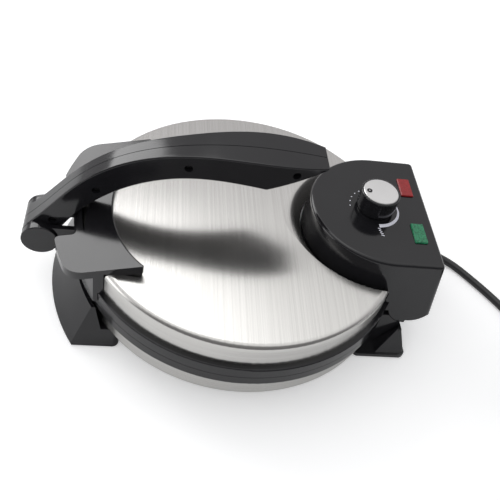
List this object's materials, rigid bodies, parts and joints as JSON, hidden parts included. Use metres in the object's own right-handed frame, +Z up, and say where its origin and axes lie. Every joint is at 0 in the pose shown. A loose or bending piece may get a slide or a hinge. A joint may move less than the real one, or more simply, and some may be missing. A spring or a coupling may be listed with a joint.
{
  "type": "electric roti maker",
  "caption": "Countertop flatbread cooker with a hinged round lid, folding press handle, thermostat knob, indicator lamps and a mains lead.",
  "frame": {"origin": "on the floor below the middle of the object, measured without its mains lead", "axes": "+X from the handle's pivot at the front to the control housing at the rear, +Y to the red lamp's side, +Z up"},
  "size_m": [0.5216, 0.296, 0.1444],
  "materials": {
    "black_gloss": "glossy black moulded heat-resistant plastic",
    "black_matte": "matt black moulded plastic",
    "stainless": "brushed stainless sheet",
    "zinc_steel": "bright zinc-plated steel",
    "plate_coating": "cast aluminium with a dark non-stick coating",
    "element_sheath": "dull steel sheath",
    "galvanised_sheet": "plain galvanised sheet",
    "thermostat_metal": "plain metal and laminate body",
    "knob_metal": "satin metal disc",
    "dark_screw": "blackened steel",
    "rubber": "matt black rubber",
    "cord_rubber": "smooth black flexible sheath",
    "ceramic_block": "unglazed white ceramic",
    "brass_pins": "plain brass",
    "red_lens": "clear red moulded lens",
    "green_lens": "rippled green moulded lens"
  },
  "bodies": {
    "base": {"base_frame": "black_gloss", "rubber_feet": "rubber", "base_drum": "stainless", "lower_ring": "black_gloss", "lower_heating_plate": "plate_coating", "lower_heating_element": "element_sheath", "lower_heat_shield": "galvanised_sheet", "lower_plate_studs": "zinc_steel", "lower_plate_screws": "zinc_steel", "base_screws": "zinc_steel", "terminal_block": "ceramic_block", "hinge_bracket": "black_gloss", "hinge_pin": "zinc_steel", "strain_relief": "cord_rubber", "cord": "cord_rubber", "cord_coil": "cord_rubber", "plug": "cord_rubber", "plug_pins": "brass_pins"},
    "lid": {"upper_ring": "black_gloss", "lid_cover": "stainless", "upper_heating_plate": "plate_coating", "upper_heating_element": "element_sheath", "upper_heat_shield": "galvanised_sheet", "upper_plate_studs": "zinc_steel", "upper_plate_screws": "zinc_steel", "control_housing": "black_gloss", "housing_closing_plate": "black_matte", "thermostat": "thermostat_metal", "red_lamp_lens": "red_lens", "green_lamp_lens": "green_lens", "lamp_holders": "black_matte", "front_bracket": "black_gloss", "bracket_pad": "rubber", "pivot_pin": "zinc_steel", "pivot_end_caps": "black_gloss"},
    "knob": {"thermostat_shaft": "zinc_steel", "knob": "black_gloss", "knob_cap": "knob_metal"},
    "handle": {"handle_near_half": "black_gloss", "handle_far_half": "black_gloss", "handle_screws": "dark_screw"}
  },
  "joints": [
    {"name": "lid_hinge", "type": "hinge", "parent": "base", "child": "lid", "pos_m": [0.14526, 0, 0.05], "axis": [0, 1, 0], "range_deg": [0, 100]},
    {"name": "handle_pivot", "type": "hinge", "parent": "lid", "child": "handle", "pos_m": [-0.14874, 0, 0.0485], "axis": [0, -1, 0], "range_deg": [0, 140]},
    {"name": "knob_turn", "type": "hinge", "parent": "lid", "child": "knob", "pos_m": [0.11026, 0, 0.095], "axis": [0, 0, -1], "range_deg": [0, 270]}
  ]
}
